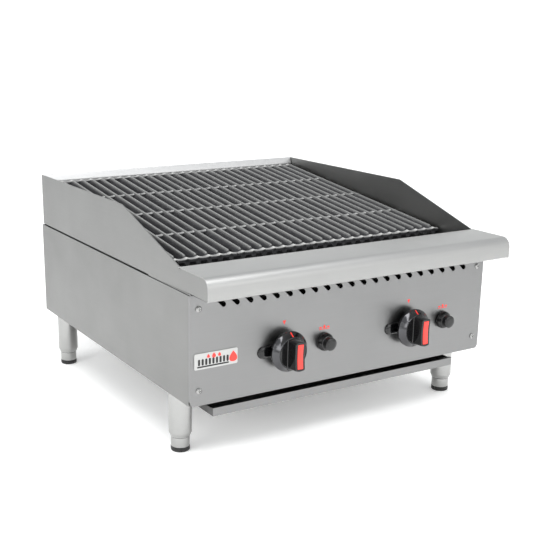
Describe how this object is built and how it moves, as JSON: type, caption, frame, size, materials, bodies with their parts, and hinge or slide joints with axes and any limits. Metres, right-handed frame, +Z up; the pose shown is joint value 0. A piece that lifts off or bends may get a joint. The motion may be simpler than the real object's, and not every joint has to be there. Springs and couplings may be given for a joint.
{
  "type": "countertop gas charbroiler",
  "caption": "Stainless countertop gas charbroiler: sloped cast grates between splash guards, front landing ledge, control knobs, drip tray and adjustable legs.",
  "frame": {"origin": "on the worktop, under the middle of the footprint between ledge nose and rear panel", "axes": "+X to the cook's right, +Y to the back, +Z up"},
  "size_m": [0.61, 0.7, 0.3855],
  "materials": {
    "stainless_brushed": "brushed 304 stainless sheet",
    "stainless_dull": "unpolished stainless or aluminised sheet",
    "chrome": "polished chrome",
    "stainless_tube": "polished stainless tube",
    "cast_iron": "seasoned cast iron",
    "brass": "machined brass",
    "black_steel": "black pipe",
    "black_plastic": "black phenolic",
    "red_plastic": "red pointer",
    "rubber": "black foot pad",
    "label": "satin badge plate"
  },
  "bodies": {
    "chassis": {"back_splash": "stainless_brushed", "badge_plate": "label", "base_cross_members": "stainless_dull", "burner_left": "cast_iron", "burner_right": "cast_iron", "control_panel": "stainless_brushed", "control_panel_screws": "stainless_brushed", "firebox_front_wall": "stainless_dull", "firebox_rear_wall": "stainless_dull", "firebox_wall_left": "stainless_dull", "firebox_wall_right": "stainless_dull", "front_grate_rest": "stainless_dull", "gas_inlet": "black_steel", "gas_orifices": "brass", "gas_valve_left": "brass", "gas_valve_right": "brass", "grease_trough": "stainless_dull", "landing_ledge": "stainless_brushed", "left_side_panel": "stainless_brushed", "left_splash_guard": "stainless_brushed", "leg_nuts": "stainless_brushed", "leg_tubes": "stainless_tube", "lighting_port_covers": "black_plastic", "manifold_pipe": "black_steel", "pilot_burners": "stainless_dull", "pilot_tubes": "stainless_dull", "pilot_valves": "brass", "radiants": "cast_iron", "rear_grate_rest": "stainless_dull", "rear_panel": "stainless_brushed", "right_side_panel": "stainless_brushed", "right_splash_guard": "stainless_brushed", "supply_pipe": "black_steel", "tray_runner_left": "stainless_dull", "tray_runner_right": "stainless_dull"},
    "left_knob": {"knob_body_left": "black_plastic", "knob_ring_left": "chrome", "knob_insert_left": "red_plastic", "valve_stem_left": "brass"},
    "left_pilot_knob": {"pilot_knob_left": "black_plastic"},
    "left_air_shutter": {"air_shutter_left": "stainless_dull"},
    "right_knob": {"knob_body_right": "black_plastic", "knob_ring_right": "chrome", "knob_insert_right": "red_plastic", "valve_stem_right": "brass"},
    "right_pilot_knob": {"pilot_knob_right": "black_plastic"},
    "right_air_shutter": {"air_shutter_right": "stainless_dull"},
    "tray": {"drip_tray": "stainless_brushed"},
    "grate_1_lift": {"grate_1": "cast_iron"},
    "grate_2_lift": {"grate_2": "cast_iron"},
    "grate_3_lift": {"grate_3": "cast_iron"},
    "grate_4_lift": {"grate_4": "cast_iron"},
    "foot_front_left": {"foot_front_left": "stainless_tube", "foot_pad_front_left": "rubber"},
    "foot_front_right": {"foot_front_right": "stainless_tube", "foot_pad_front_right": "rubber"},
    "foot_rear_left": {"foot_rear_left": "stainless_tube", "foot_pad_rear_left": "rubber"},
    "foot_rear_right": {"foot_rear_right": "stainless_tube", "foot_pad_rear_right": "rubber"}
  },
  "joints": [
    {"name": "left_knob_turn", "type": "hinge", "parent": "chassis", "child": "left_knob", "pos_m": [-0.1305, -0.291, 0.171], "axis": [0, -1, 0], "range_deg": [0, 90]},
    {"name": "left_pilot_turn", "type": "hinge", "parent": "chassis", "child": "left_pilot_knob", "pos_m": [-0.05, -0.291, 0.171], "axis": [0, -1, 0], "range_deg": [0, 90]},
    {"name": "left_air_shutter_turn", "type": "hinge", "parent": "chassis", "child": "left_air_shutter", "pos_m": [-0.1305, -0.2, 0.171], "axis": [0, -1, 0], "range_deg": [0, 60]},
    {"name": "right_knob_turn", "type": "hinge", "parent": "chassis", "child": "right_knob", "pos_m": [0.1305, -0.291, 0.171], "axis": [0, -1, 0], "range_deg": [0, 90]},
    {"name": "right_pilot_turn", "type": "hinge", "parent": "chassis", "child": "right_pilot_knob", "pos_m": [0.211, -0.291, 0.171], "axis": [0, -1, 0], "range_deg": [0, 90]},
    {"name": "right_air_shutter_turn", "type": "hinge", "parent": "chassis", "child": "right_air_shutter", "pos_m": [0.1305, -0.2, 0.171], "axis": [0, -1, 0], "range_deg": [0, 60]},
    {"name": "tray_slide", "type": "slide", "parent": "chassis", "child": "tray", "axis": [0, -1, 0], "range_m": [0, 0.45]},
    {"name": "grate_1_lift_off", "type": "slide", "parent": "chassis", "child": "grate_1_lift", "axis": [0, 0, 1], "range_m": [0, 0.1]},
    {"name": "grate_2_lift_off", "type": "slide", "parent": "chassis", "child": "grate_2_lift", "axis": [0, 0, 1], "range_m": [0, 0.1]},
    {"name": "grate_3_lift_off", "type": "slide", "parent": "chassis", "child": "grate_3_lift", "axis": [0, 0, 1], "range_m": [0, 0.1]},
    {"name": "grate_4_lift_off", "type": "slide", "parent": "chassis", "child": "grate_4_lift", "axis": [0, 0, 1], "range_m": [0, 0.1]},
    {"name": "foot_front_left_adjust", "type": "slide", "parent": "chassis", "child": "foot_front_left", "axis": [0, 0, -1], "range_m": [0, 0.02]},
    {"name": "foot_front_right_adjust", "type": "slide", "parent": "chassis", "child": "foot_front_right", "axis": [0, 0, -1], "range_m": [0, 0.02]},
    {"name": "foot_rear_left_adjust", "type": "slide", "parent": "chassis", "child": "foot_rear_left", "axis": [0, 0, -1], "range_m": [0, 0.02]},
    {"name": "foot_rear_right_adjust", "type": "slide", "parent": "chassis", "child": "foot_rear_right", "axis": [0, 0, -1], "range_m": [0, 0.02]}
  ]
}
